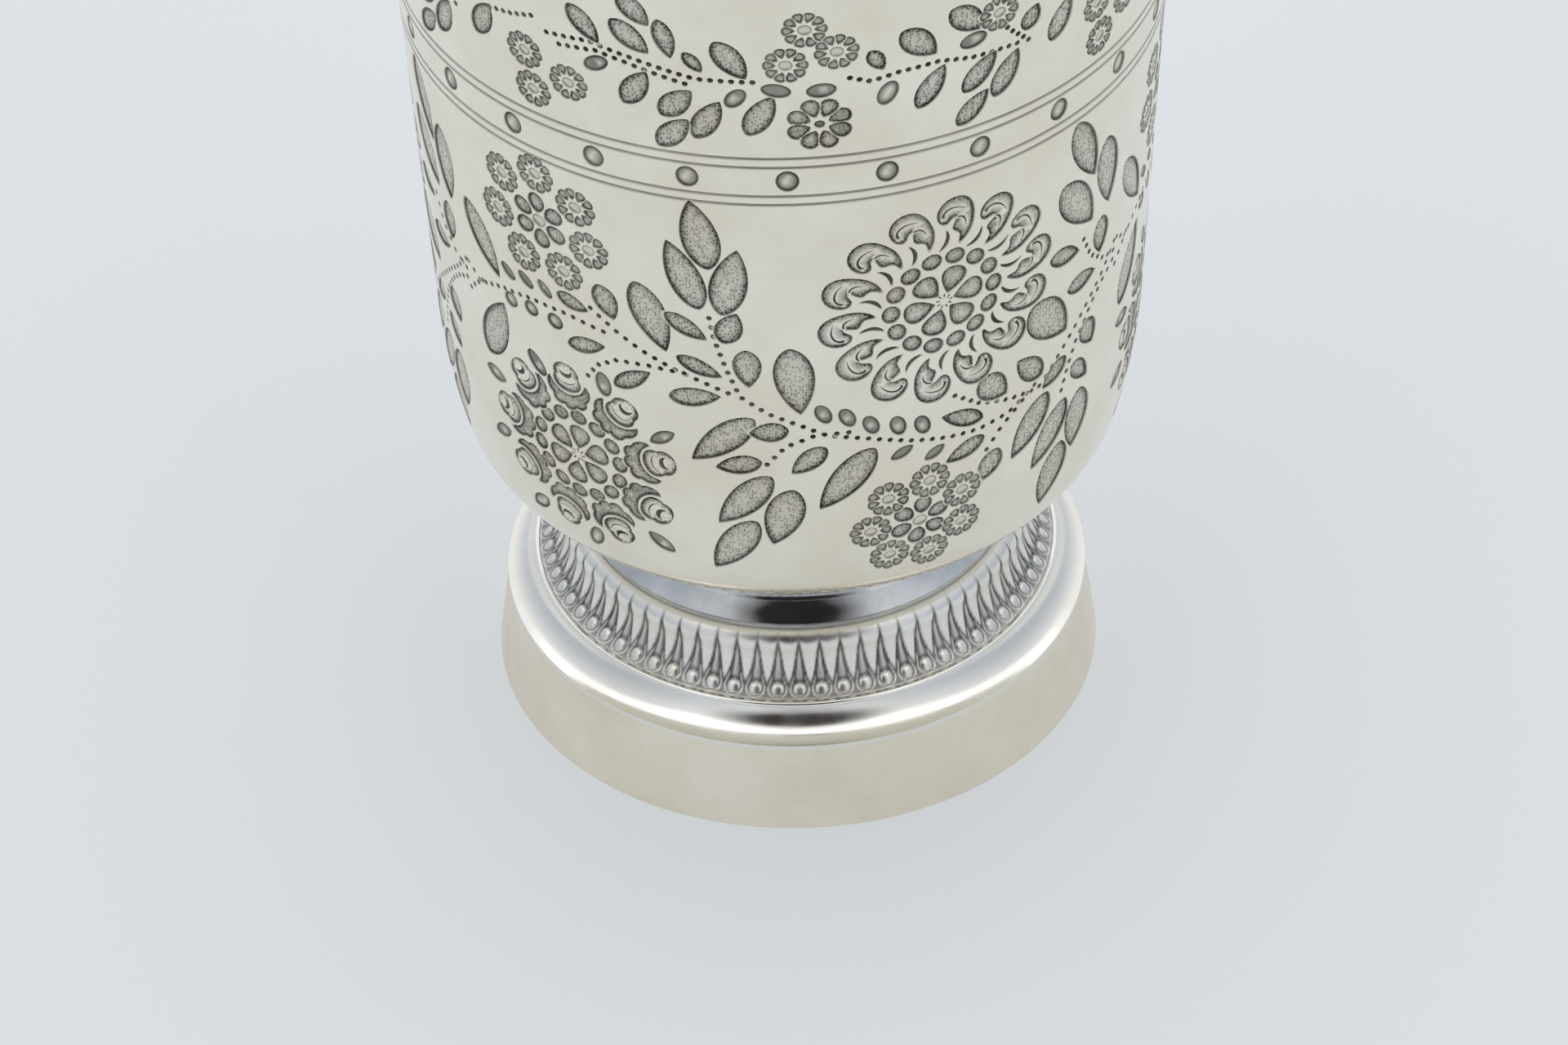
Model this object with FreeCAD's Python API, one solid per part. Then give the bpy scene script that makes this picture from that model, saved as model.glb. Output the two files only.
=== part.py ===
import FreeCAD, Part
import math
import os

# Covered footed cup of spun and die-struck silver: a tall bowl on a low spreading foot, with a lift-off lid.
# Millimetres, +Z up, origin at the centre of the foot's bottom. Nearly every piece is turned about Z, so
# outlines are drawn as (radius, height) pairs.

# Foot
BASE_R = 35.0
SHEET = 0.9                      # silver sheet of the foot and the lid
SKIRT_TOP_R = 33.45
SKIRT_TOP_Z = 10.7
EDGE_R = 33.6                    # sharp outer edge of the foot moulding
EDGE_Z = 11.3
FILLET_R = 30.2                  # bright fillet between moulding and flutes
FILLET_Z = 14.6
SHOULDER_R = 25.2                # top of the fluted dome, where the collar stands
SHOULDER_Z = 22.0
DOME_LAND_R = 19.0               # inner edge of the dome's flat top
BASE_WIRE = 1.8                  # stiffening wire inside the skirt

# Collar between foot and bowl
COLLAR_WAIST_R = 23.1
COLLAR_BORE_R = 21.5
COLLAR_TOP_R = 25.0
COLLAR_TOP_Z = 26.9
MILLED_WIRE = 0.6                # section radius of the milled wire under the bowl
MILLED_R = 25.5
MILLED_Z = 27.5

# Bowl: a flat bottom, three tangent arcs, and a wall that leans out a little up to the rim
BOWL_WALL = 1.0
BOTTOM_Z = 29.2
BOTTOM_R = 17.25
ARC_RADII = (30.0, 9.5, 70.0)
ARC_ENDS = (33.0, 76.0)          # tangent angles, in degrees from level, where one arc meets the next
WALL_LEAN = math.degrees(math.atan(0.049))
RIM_Z = 148.0
LIP_HEIGHT = 2.4                 # half-round wire round the rim
LIP_DEPTH = 1.3

# Clamp that holds bowl, collar and foot together
TIE_R = 2.5
TIE_BOTTOM_Z = 13.2
BOSS_R = 12.0
BRIDGE_THICK = 1.2
WASHER_R = 8.0
WASHER_THICK = 1.4
NUT_FLATS = 8.0
NUT_HEIGHT = 3.4
HOLE_GAP = 0.15                  # radial room round both studs

# Lid
LID_EDGE_R = 46.3
LID_STEP_R = 42.6
LID_STEP_Z = 152.2
BEZEL_R = 42.4
BEZEL_DEPTH = 5.5
CROWN_R = 8.0
CROWN_Z = 167.0
LID_WIRE = 0.55
KNOP_R = 6.6
KNOP_HEIGHT = 10.0
SPOOL_HEIGHT = 4.5
FINIAL_STUD_R = 1.5
LID_WASHER_R = 6.0
LID_NUT_FLATS = 5.5
LID_NUT_HEIGHT = 2.4
CROSS_HEIGHT = 20.0
CROSS_SPAN = 14.0
CROSS_THICK = 2.4
CROSS_FOOT_R = 3.0
CROSS_FOOT_HEIGHT = 2.0


def spot(radius, height):
    return FreeCAD.Vector(radius, 0, height)


def run(start, *stops):
    """Edges from start through stops: (r, z) is a straight line, (mid r, mid z, r, z) is an arc."""
    edges = []
    here = spot(*start)
    for stop in stops:
        there = spot(*stop[-2:])
        if len(stop) == 4:
            edges.append(Part.Arc(here, spot(*stop[:2]), there).toShape())
        else:
            edges.append(Part.LineSegment(here, there).toShape())
        here = there
    return edges


def ends(edges):
    return edges[0].firstVertex(True).Point, edges[-1].lastVertex(True).Point


def turned(near, far=None):
    """Solid of revolution of one closed-up run, or of the strip between two runs."""
    edges = list(near)
    start, end = ends(near)
    if far is None:
        edges.append(Part.LineSegment(end, start).toShape())
    else:
        far_start, far_end = ends(far)
        edges += list(far)
        edges.append(Part.LineSegment(start, far_start).toShape())
        edges.append(Part.LineSegment(end, far_end).toShape())
    outline = Part.Wire(Part.__sortEdges__(edges))
    solid = Part.Face(outline).revolve(FreeCAD.Vector(), FreeCAD.Vector(0, 0, 1), 360)
    return solid


def disc(radius, hole, low, high):
    return turned(run((hole, low), (radius, low), (radius, high), (hole, high)))


def wire_ring(radius, height, section):
    return Part.makeTorus(radius, section, spot(0, height))


def hex_nut(flats, hole, low, high):
    corners = []
    for side in range(7):
        turn = math.radians(60 * side)
        reach = flats / math.sqrt(3)
        corners.append(FreeCAD.Vector(reach * math.cos(turn), reach * math.sin(turn), low))
    block = Part.Face(Part.makePolygon(corners)).extrude(spot(0, high - low))
    bore = Part.makeCylinder(hole, high - low, spot(0, low))
    cone = Part.makeCone(flats / 2 + high - low, flats / 2 - 0.1, high - low + 0.1, spot(0, low))
    return block.cut(bore).common(cone)


def bowl_run(depth):
    """The bowl's wall from the axis to the rim, a given depth under its outer face."""
    r = BOTTOM_R
    z = BOTTOM_Z + depth
    angle = 0.0
    stops = [(r, z)]
    for radius, end in zip(ARC_RADII, ARC_ENDS + (90 - WALL_LEAN,)):
        arc = radius - depth
        places = []
        for turn in ((angle + end) / 2, end):
            reach = math.sin(math.radians(turn)) - math.sin(math.radians(angle))
            climb = math.cos(math.radians(angle)) - math.cos(math.radians(turn))
            places += [r + arc * reach, z + arc * climb]
        stops.append(tuple(places))
        r, z = places[2:]
        angle = end
    lean = math.tan(math.radians(WALL_LEAN))
    stops.append((r + (RIM_Z - z) * lean, RIM_Z))
    return run((0, BOTTOM_Z + depth), *stops)


def rim_radius():
    return ends(bowl_run(0))[1].x


def bowl():
    return turned(bowl_run(0), bowl_run(BOWL_WALL))


def bowl_lip_wire():
    low = RIM_Z - LIP_HEIGHT
    lean = math.tan(math.radians(WALL_LEAN))
    top_r = rim_radius()
    low_r = top_r - LIP_HEIGHT * lean
    middle = (low_r + LIP_DEPTH, RIM_Z - LIP_HEIGHT / 2)
    return turned(run((low_r, low), (*middle, top_r, RIM_Z)))


def skirt():
    outer = run((BASE_R, 0), (SKIRT_TOP_R, SKIRT_TOP_Z))
    inner = run((BASE_R - SHEET, 0), (SKIRT_TOP_R - SHEET, SKIRT_TOP_Z))
    return turned(outer, inner)


def base_wire():
    lean = (BASE_R - SKIRT_TOP_R) / SKIRT_TOP_Z
    outer_r = BASE_R - SHEET
    top_r = outer_r - BASE_WIRE * lean
    inner_r = outer_r - BASE_WIRE
    return turned(run((inner_r + 0.5, 0), (outer_r, 0), (top_r, BASE_WIRE), (inner_r, BASE_WIRE / 2, inner_r + 0.5, 0)))


def foot_moulding():
    outer = run((EDGE_R, SKIRT_TOP_Z), (EDGE_R, EDGE_Z), (31.52, 12.25, FILLET_R, FILLET_Z - 0.5))
    inner = run((EDGE_R - 2.0, SKIRT_TOP_Z), (EDGE_R - 2.3, SKIRT_TOP_Z + 0.1),
                (30.45, 11.6, FILLET_R - SHEET, FILLET_Z - 0.5))
    return turned(outer, inner)


def foot_fillet_wire():
    inner = FILLET_R - SHEET
    low = FILLET_Z - 0.5
    return turned(run((inner, low), (FILLET_R, low), (FILLET_R + 0.3, low + 0.45, FILLET_R - 0.1, low + 0.8),
                      (inner, low + 0.8)))


def fluted_dome():
    foot_z = FILLET_Z + 0.3
    outer = run((DOME_LAND_R, SHOULDER_Z), (SHOULDER_R, SHOULDER_Z), (26.5, 21.3, 27.1, 20.0),
                (27.9, 17.1, FILLET_R - 0.3, foot_z))
    inner = run((DOME_LAND_R, SHOULDER_Z - SHEET), (SHOULDER_R - 0.5, SHOULDER_Z - SHEET),
                (25.7, 20.6, 26.2, 19.7), (27.0, 16.7, FILLET_R - 0.3 - SHEET, foot_z))
    return turned(outer, inner)


def stem_collar():
    flare = (COLLAR_WAIST_R + 0.5, SHOULDER_Z + 2.3)
    waist = (COLLAR_WAIST_R, SHOULDER_Z + 3.3)
    outer = run((SHOULDER_R - 0.2, SHOULDER_Z), (SHOULDER_R, SHOULDER_Z + 0.25),
                (COLLAR_WAIST_R + 1.23, SHOULDER_Z + 1.22, *flare),
                (COLLAR_WAIST_R + 0.12, SHOULDER_Z + 2.83, *waist),
                (COLLAR_WAIST_R + 0.5, COLLAR_TOP_Z - 0.5, COLLAR_TOP_R, COLLAR_TOP_Z))
    inner = run((COLLAR_BORE_R, SHOULDER_Z), (COLLAR_BORE_R, COLLAR_TOP_Z))
    return turned(outer, inner)


def bowl_seat_ring():
    """Ring between collar and bowl, whose top is hollowed to the bowl's curve."""
    base = COLLAR_TOP_Z
    block = turned(run((COLLAR_BORE_R, base), (MILLED_R - MILLED_WIRE, base),
                       (MILLED_R - MILLED_WIRE, base + 4), (COLLAR_BORE_R, base + 4)))
    filled_bowl = turned(bowl_run(0), run((0, RIM_Z - 1), (0, RIM_Z)))
    return block.cut(filled_bowl)


def bowl_boss():
    return disc(BOSS_R, TIE_R, BOTTOM_Z - 2.2, BOTTOM_Z)


def bridge_plate():
    top = SHOULDER_Z - SHEET
    return disc(SHOULDER_R - 1.8, TIE_R + HOLE_GAP, top - BRIDGE_THICK, top)


def dished_washer(radius, hole, top, thick):
    dish = 0.4
    outer = run((hole, top), (radius - 1.0, top), (radius, top - dish))
    inner = run((hole, top - thick), (radius - 1.4, top - thick), (radius, top - thick + dish))
    return turned(outer, inner)


def foot_cross_levels():
    """Heights of the plate's, washer's and nut's undersides, from the dome downwards."""
    plate = SHOULDER_Z - SHEET - BRIDGE_THICK
    washer = plate - WASHER_THICK
    return plate, washer, washer - NUT_HEIGHT


def tie_stud():
    height = BOTTOM_Z - TIE_BOTTOM_Z
    return Part.makeCylinder(TIE_R, height, spot(0, TIE_BOTTOM_Z))


def lid_rim_moulding():
    return turned(run((BEZEL_R, RIM_Z), (LID_EDGE_R - 0.3, RIM_Z), (LID_EDGE_R, RIM_Z + 0.4),
                      (LID_EDGE_R, RIM_Z + 1.2), (43.6, RIM_Z + 2.1, LID_STEP_R + 0.2, LID_STEP_Z),
                      (LID_STEP_R - 2.0, LID_STEP_Z), (LID_STEP_R - 2.0, LID_STEP_Z - SHEET),
                      (LID_STEP_R - 0.2, LID_STEP_Z - SHEET), (BEZEL_R, RIM_Z + 2.5)))


def lid_bezel():
    outer = run((BEZEL_R - 0.3, RIM_Z - BEZEL_DEPTH), (BEZEL_R, RIM_Z - BEZEL_DEPTH + 0.8), (BEZEL_R, RIM_Z + 2.5))
    inner = run((BEZEL_R - SHEET, RIM_Z - BEZEL_DEPTH), (BEZEL_R - SHEET, RIM_Z + 2.5))
    return turned(outer, inner)


def lid_milled_wire():
    return wire_ring(LID_STEP_R - 0.4, LID_STEP_Z + LID_WIRE, LID_WIRE)


def dome_run(depth):
    """The lid's dome from its lower edge to the crown, a given depth under its outer face."""
    low_r = LID_STEP_R - 1.0 - depth
    return run((low_r, LID_STEP_Z), (low_r, LID_STEP_Z + 1.0),
               (29.5 - 0.55 * depth, 161.6 - 0.85 * depth, 14.0, 166.2 - depth),
               (10.8, 166.5 - depth, CROWN_R, CROWN_Z - depth))


def lid_dome():
    outer = dome_run(0)
    inner = dome_run(SHEET)
    outer += run((CROWN_R, CROWN_Z), (FINIAL_STUD_R + HOLE_GAP, CROWN_Z))
    inner += run((CROWN_R, CROWN_Z - SHEET), (FINIAL_STUD_R + HOLE_GAP, CROWN_Z - SHEET))
    return turned(outer, inner)


def finial_spool():
    top = CROWN_Z + SPOOL_HEIGHT
    hole = FINIAL_STUD_R + HOLE_GAP
    return turned(run((hole, CROWN_Z), (6.8, CROWN_Z), (6.8, CROWN_Z + 0.8), (3.4, CROWN_Z + 2.3, 4.4, top),
                      (hole, top)))


def finial_knop():
    base = CROWN_Z + SPOOL_HEIGHT
    middle = base + KNOP_HEIGHT / 2
    hole = FINIAL_STUD_R + HOLE_GAP
    return turned(run((hole, base), (3.2, base), (KNOP_R - 1.35, base + 1.75, KNOP_R, middle),
                      (KNOP_R - 1.35, base + KNOP_HEIGHT - 1.75, 3.2, base + KNOP_HEIGHT),
                      (hole, base + KNOP_HEIGHT)))


def cross_base():
    return CROWN_Z + SPOOL_HEIGHT + KNOP_HEIGHT


def finial_cross():
    """Cross with four arms that widen outwards, on a small round foot with a blind hole for the stud."""
    low = cross_base()
    foot = turned(run((0, low), (CROSS_FOOT_R, low), (CROSS_FOOT_R, low + 0.6),
                      (2.2, low + 1.3, 1.9, low + CROSS_FOOT_HEIGHT + 1.0), (0, low + CROSS_FOOT_HEIGHT + 1.0)))
    span = CROSS_SPAN / 2
    middle_z = low + CROSS_HEIGHT - span
    solid = foot
    for quarter, reach in enumerate((span, span, span, middle_z - low - CROSS_FOOT_HEIGHT)):
        root = 0.9
        tip = 2.7
        corners = [(-root, 0), (-tip, reach), (0, reach - 0.5), (tip, reach), (root, 0), (-root, 0)]
        flat = [FreeCAD.Vector(x, -CROSS_THICK / 2, z) for x, z in corners]
        arm = Part.Face(Part.makePolygon(flat)).extrude(FreeCAD.Vector(0, CROSS_THICK, 0))
        arm.rotate(FreeCAD.Vector(), FreeCAD.Vector(0, 1, 0), 90 * (quarter - 1))
        arm.translate(spot(0, middle_z))
        solid = solid.fuse(arm)
    hub = Part.makeCylinder(2.2, CROSS_THICK, FreeCAD.Vector(0, -CROSS_THICK / 2, middle_z), FreeCAD.Vector(0, 1, 0))
    hole = Part.makeCylinder(FINIAL_STUD_R * 0.8, 2.4, spot(0, low))
    return solid.fuse(hub).removeSplitter().cut(hole)


def finial_stud():
    nut_low = CROWN_Z - SHEET - 1.0 - LID_NUT_HEIGHT
    shank = Part.makeCylinder(FINIAL_STUD_R, cross_base() - nut_low + 0.6, spot(0, nut_low - 0.6))
    tip = Part.makeCylinder(FINIAL_STUD_R * 0.8, 2.4, spot(0, cross_base()))
    return shank.fuse(tip)


def build():
    plate, washer, nut = foot_cross_levels()
    lid_washer_top = CROWN_Z - SHEET
    lid_nut_top = lid_washer_top - 1.0
    return {
        "bowl": bowl(),
        "bowl_lip_wire": bowl_lip_wire(),
        "bowl_boss": bowl_boss(),
        "bowl_seat_ring": bowl_seat_ring(),
        "bowl_milled_wire": wire_ring(MILLED_R, MILLED_Z, MILLED_WIRE),
        "stem_collar": stem_collar(),
        "foot_fluted_dome": fluted_dome(),
        "foot_fillet_wire": foot_fillet_wire(),
        "foot_moulding": foot_moulding(),
        "foot_skirt": skirt(),
        "foot_base_wire": base_wire(),
        "foot_bridge_plate": bridge_plate(),
        "tie_stud": tie_stud(),
        "tie_washer": dished_washer(WASHER_R, TIE_R + HOLE_GAP, plate, WASHER_THICK),
        "tie_nut": hex_nut(NUT_FLATS, TIE_R, nut, washer),
        "lid_dome": lid_dome(),
        "lid_rim_moulding": lid_rim_moulding(),
        "lid_bezel": lid_bezel(),
        "lid_milled_wire": lid_milled_wire(),
        "finial_spool": finial_spool(),
        "finial_knop": finial_knop(),
        "finial_cross": finial_cross(),
        "finial_stud": finial_stud(),
        "finial_washer": dished_washer(LID_WASHER_R, FINIAL_STUD_R + HOLE_GAP, lid_washer_top, 1.0),
        "finial_nut": hex_nut(LID_NUT_FLATS, FINIAL_STUD_R, lid_nut_top - LID_NUT_HEIGHT, lid_nut_top),
    }


os.makedirs("parts", exist_ok=True)
for node, shape in build().items():
    shape.exportStep("parts/" + node + ".step")
    box = shape.BoundBox
    print(f"{node:20s} valid {shape.isValid()} solids {len(shape.Solids)} volume {shape.Volume:9.1f}"
          f" r {box.XMax:7.2f} z {box.ZMin:7.2f} {box.ZMax:7.2f}")
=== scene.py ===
import math
from collections import namedtuple
import bmesh
import bpy
import numpy as np
from mathutils import Matrix, Vector
from mathutils.geometry import delaunay_2d_cdt


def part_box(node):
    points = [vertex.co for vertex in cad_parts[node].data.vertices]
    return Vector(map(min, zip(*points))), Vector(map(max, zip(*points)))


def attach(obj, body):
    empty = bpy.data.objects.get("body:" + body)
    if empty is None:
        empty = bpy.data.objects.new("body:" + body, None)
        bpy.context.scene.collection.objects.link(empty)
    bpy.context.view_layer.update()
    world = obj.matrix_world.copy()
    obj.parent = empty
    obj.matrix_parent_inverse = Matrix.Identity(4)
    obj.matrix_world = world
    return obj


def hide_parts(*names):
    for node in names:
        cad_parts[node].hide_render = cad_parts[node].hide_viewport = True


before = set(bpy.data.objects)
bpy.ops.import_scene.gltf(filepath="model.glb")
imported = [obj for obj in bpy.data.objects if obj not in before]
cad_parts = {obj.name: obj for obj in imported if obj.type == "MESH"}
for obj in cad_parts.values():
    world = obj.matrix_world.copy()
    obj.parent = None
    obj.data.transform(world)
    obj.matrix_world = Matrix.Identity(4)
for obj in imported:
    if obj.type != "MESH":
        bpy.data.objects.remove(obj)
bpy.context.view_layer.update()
MM = 0.001

# ---------------- the bowl's outline, in millimetres
# A flat bottom, three tangent arcs and a wall that leans out, as the CAD bowl has.
BOTTOM_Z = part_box("bowl")[0].z / MM
RIM_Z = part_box("bowl")[1].z / MM
BOTTOM_R = 17.25
ARC_RADII = (30.0, 9.5, 70.0)
ARC_ENDS = (33.0, 76.0)
WALL_LEAN = math.degrees(math.atan(0.049))
WALL_THICK = 1.0
ARC_STEPS = 24


def outline(depth):
    """Points (r, z) of the bowl's face from the axis to the rim, a given depth under the outer face."""
    r = BOTTOM_R
    z = BOTTOM_Z + depth
    angle = 0.0
    points = [(0.0, z), (r / 2, z), (r, z)]
    for radius, end in zip(ARC_RADII, ARC_ENDS + (90 - WALL_LEAN,)):
        arc = radius - depth
        start_r, start_z = r, z
        for turn in np.linspace(angle, end, ARC_STEPS + 1)[1:]:
            r = start_r + arc * (math.sin(math.radians(turn)) - math.sin(math.radians(angle)))
            z = start_z + arc * (math.cos(math.radians(angle)) - math.cos(math.radians(turn)))
            points.append((r, z))
        angle = end
    lean = math.tan(math.radians(WALL_LEAN))
    points.append((r + (RIM_Z - z) * lean, RIM_Z))
    return np.array(points)


OUTER = outline(0.0)
OUTER_RUN = np.concatenate([[0], np.cumsum(np.hypot(*np.diff(OUTER, axis=0).T))])
HEIGHT = RIM_Z + (OUTER_RUN - OUTER_RUN[-1]) * math.cos(math.radians(WALL_LEAN))


def on_wall(azimuth, height, depth, tilt=None):
    """Places and outward normals on the bowl. height is z on the straight wall, carried on down the curve
    below it as a distance along the surface. azimuth is in degrees from the front, growing to the right.
    tilt is how fast the depth grows to the right and upwards, which leans the normal."""
    r = np.interp(height, HEIGHT, OUTER[:, 0])
    z = np.interp(height, HEIGHT, OUTER[:, 1])
    step = 0.05
    dr = np.interp(height + step, HEIGHT, OUTER[:, 0]) - np.interp(height - step, HEIGHT, OUTER[:, 0])
    dz = np.interp(height + step, HEIGHT, OUTER[:, 1]) - np.interp(height - step, HEIGHT, OUTER[:, 1])
    size = np.hypot(dr, dz)
    out_r = dz / size
    out_z = -dr / size
    turn = np.radians(azimuth)
    normal = np.stack([out_r * np.sin(turn), -out_r * np.cos(turn), out_z], -1)
    place = np.stack([r * np.sin(turn), -r * np.cos(turn), z], -1)
    place -= normal * np.asarray(depth)[:, None]
    if tilt is not None:
        across = np.stack([np.cos(turn), np.sin(turn), np.zeros_like(turn)], -1)
        upward = np.stack([-out_z * np.sin(turn), out_z * np.cos(turn), out_r], -1)
        normal = normal + tilt[:, :1] * across + tilt[:, 1:] * upward
        normal /= np.linalg.norm(normal, axis=1, keepdims=True)
    return place, normal


# ---------------- punches
# A punch is a closed outline on the flattened wall, in millimetres across and up, and the kind of its cut.
MM_PER_DEGREE = 0.71
DOT_SIZE = 0.74

# reach: distances in from the outline. depth, dark: depth and darkness there. rings: how far in the mesh has
# rings of points. spacing: distance between points along the outline. grain: strength of the stipple inside.
# Distances are in millimetres, and darkness and grain go from 0 to 1.
Cut = namedtuple("Cut", "reach depth dark rings spacing grain")
CUTS = {
    "leaf": Cut([0, .08, .2, .42, .8, 1.4, 3], [0, .12, .20, .15, .11, .09, .07],
                [0, .85, 1, .64, .33, .22, .18], (0, .09, .22, .45, .8), .50, 1.0),
    "bead": Cut([0, .08, .2, .38, .62, .95], [0, .13, .18, .10, .02, -.01],
                [0, .85, 1, .8, .25, .08], (0, .10, .22, .42), .34, 0.0),
    "petal": Cut([0, .08, .17, .32, .5], [0, .12, .15, .06, .01],
                 [0, .9, .97, .60, .34], (0, .10, .24, .42), .28, 0.3),
    "eye": Cut([0, .08, .16, .30], [0, .10, .12, .02], [0, .7, .7, .08], (0, .09, .28), .30, 0.0),
    "lobe": Cut([0, .08, .2, .42, .75, 1.4], [0, .12, .18, .11, .06, .03],
                [0, .85, 1, .64, .26, .15], (0, .10, .24, .5), .36, 0.7),
    "dot": Cut([0, .07, .2], [0, .12, .2], [0, 1, 1], (0, .08), .26, 0.0),
    "line": Cut([0, .06, .14, .3], [0, .1, .16, .18], [0, .95, 1, 1], (0, .08), .35, 0.0),
}


def punch(points, kind):
    return {"outline": np.asarray(points, float), "kind": kind}


def flat(azimuth, height):
    return np.array([azimuth * MM_PER_DEGREE, height])


def heading(angle):
    turn = math.radians(angle)
    return np.array([math.cos(turn), math.sin(turn)])


def lens(start, end, width, kind, blunt_start, blunt_end):
    """An almond from start to end. blunt 1 is a pointed end and 0.5 a round one."""
    along = end - start
    length = np.hypot(*along)
    across = np.array([-along[1], along[0]]) / length
    count = max(4, int(math.ceil(length / CUTS[kind].spacing)))
    t = (1 - np.cos(np.linspace(0, math.pi, count + 1))) / 2
    shape = t ** blunt_start * (1 - t) ** blunt_end
    peak = blunt_start / (blunt_start + blunt_end)
    shape = shape / (peak ** blunt_start * (1 - peak) ** blunt_end) * width / 2
    right = start + t[:, None] * along - shape[:, None] * across
    left = start + t[::-1, None] * along + shape[::-1, None] * across
    return punch(np.concatenate([right[:-1], left[:-1]]), kind)


def leaf(a1, h1, a2, h2, width):
    """A leaf with its stalk end at (a1, h1) and its tip at (a2, h2), in degrees and millimetres."""
    return lens(flat(a1, h1), flat(a2, h2), width, "leaf", 0.62, 0.85)


def oval_at(centre, length, width, tilt, kind="bead"):
    half = heading(tilt) * length / 2
    return lens(centre - half, centre + half, width, kind, 0.5, 0.5)


def oval(azimuth, height, length, width, tilt):
    return oval_at(flat(azimuth, height), length, width, tilt)


def pip(a1, h1, a2, h2, width):
    """A small pointed seed with a domed middle."""
    return lens(flat(a1, h1), flat(a2, h2), width, "bead", 0.7, 0.7)


def dot_at(centre):
    turn = np.arange(8) * math.pi / 4
    return punch(centre + DOT_SIZE / 2 * np.stack([np.cos(turn), np.sin(turn)], -1), "dot")


def ring_of(centre, radius, count, phase):
    """Places evenly round a centre, each with its direction in degrees."""
    for number in range(count):
        angle = phase + 360.0 * number / count
        yield centre + radius * heading(angle), angle


def petals(centre, inner, outer, width, count, phase, kind="petal", narrow=1.0):
    made = []
    for place, _ in ring_of(np.zeros(2), 1.0, count, phase):
        made.append(lens(centre + place * inner, centre + place * outer, width, kind, narrow, 0.5))
    return made


def daisy(centre, size, phase):
    made = petals(centre, size * 0.36, size, size * 0.56, 10, phase)
    made.append(oval_at(centre, size * 0.66, size * 0.60, 0, "eye"))
    return made


def daisy_cluster(azimuth, height, radius, phase):
    centre = flat(azimuth, height)
    made = petals(centre, 1.0, 3.75, 2.35, 6, phase + 4, "lobe", 0.62)
    made.append(oval_at(centre, 1.9, 1.7, 0, "eye"))
    for number, (place, _) in enumerate(ring_of(centre, radius, 7, phase)):
        made += daisy(place, 2.55, 17.0 * number)
    return made


def stroke(points, widths):
    """A cut line of changing width along points."""
    points = np.asarray(points, float)
    along = np.gradient(points, axis=0)
    along /= np.hypot(*along.T)[:, None]
    across = np.stack([-along[:, 1], along[:, 0]], -1) * np.asarray(widths)[:, None] / 2
    return punch(np.concatenate([points - across, (points + across)[::-1]]), "line")


def turned_points(points, centre, angle):
    c, s = math.cos(math.radians(angle)), math.sin(math.radians(angle))
    return centre + np.asarray(points) @ np.array([[c, s], [-s, c]])


def bezier(p0, p1, p2, p3, count):
    t = np.linspace(0, 1, count)[:, None]
    p0, p1, p2, p3 = (np.array(p, float) for p in (p0, p1, p2, p3))
    return (1 - t) ** 3 * p0 + 3 * t * (1 - t) ** 2 * p1 + 3 * t ** 2 * (1 - t) * p2 + t ** 3 * p3


def closed_curve(corners):
    """An outline from curves that follow one another, each with its four points and its number of steps."""
    return np.concatenate([bezier(*corner)[:-1] for corner in corners])


def swelling(count, thin, thick, tail, peak):
    """Widths along a stroke that grows from thin to thick at peak and falls to tail."""
    t = np.linspace(0, 1, count)
    grown = thin + (thick - thin) * np.sin(np.clip(t / peak, 0, 1) * math.pi / 2) ** 1.3
    fallen = tail + (thick - tail) * np.cos(np.clip((t - peak) / (1 - peak), 0, 1) * math.pi / 2)
    return np.where(t < peak, grown, fallen)


def feather(centre, angle):
    """One petal of the rosette: a scroll that swells from its tip, lets a drop fall inwards and curls round
    to a volute, with the drop's edge and the volute's fold cut on it, and a slit beside it."""
    body = closed_curve((((7.45, -0.75), (8.0, -1.7), (9.3, -2.35), (10.6, -2.3), 7),
                         ((10.6, -2.3), (12.7, -2.3), (14.1, -1.4), (14.1, 0.1), 7),
                         ((14.1, 0.1), (14.1, 1.6), (12.8, 2.5), (11.6, 2.3), 7),
                         ((11.6, 2.3), (10.5, 2.1), (10.1, 1.3), (10.5, 0.8), 7),
                         ((10.5, 0.8), (10.8, 0.5), (11.2, 0.4), (11.15, 0.1), 4),
                         ((11.15, 0.1), (11.0, -0.2), (10.4, 0.35), (9.8, 0.3), 4),
                         ((9.8, 0.3), (9.2, 0.25), (9.3, -0.55), (8.8, -0.7), 4),
                         ((8.8, -0.7), (8.3, -0.8), (7.9, -0.6), (7.45, -0.75), 4)))
    edge = bezier((11.1, 0.0), (11.5, -0.7), (10.9, -1.35), (9.7, -1.35), 8)
    fold = bezier((11.1, 1.4), (12.4, 2.0), (13.2, 0.3), (12.0, -1.3), 10)
    slit = bezier((6.9, 1.5), (7.6, 0.6), (8.7, 0.3), (9.8, 1.0), 8)
    return [punch(turned_points(body, centre, angle), "lobe"),
            stroke(turned_points(edge, centre, angle), swelling(8, .30, .32, .10, .4)),
            stroke(turned_points(fold, centre, angle), swelling(10, .50, .34, .10, .4)),
            stroke(turned_points(slit, centre, angle), swelling(8, .26, .58, .16, .45))]


def rosette(azimuth, height):
    centre = flat(azimuth, height)
    made = petals(centre, 0.95, 4.75, 3.1, 6, 11, "lobe")
    made += petals(centre, 0.3, 1.05, 0.3, 9, 10, "line")
    made += [oval_at(place, 2.5, 2.25, angle + 90, "lobe") for place, angle in ring_of(centre, 6.0, 14, 1.7)]
    for _, angle in ring_of(centre, 1.0, 14, 7):
        made += feather(centre, angle)
    return made


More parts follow.
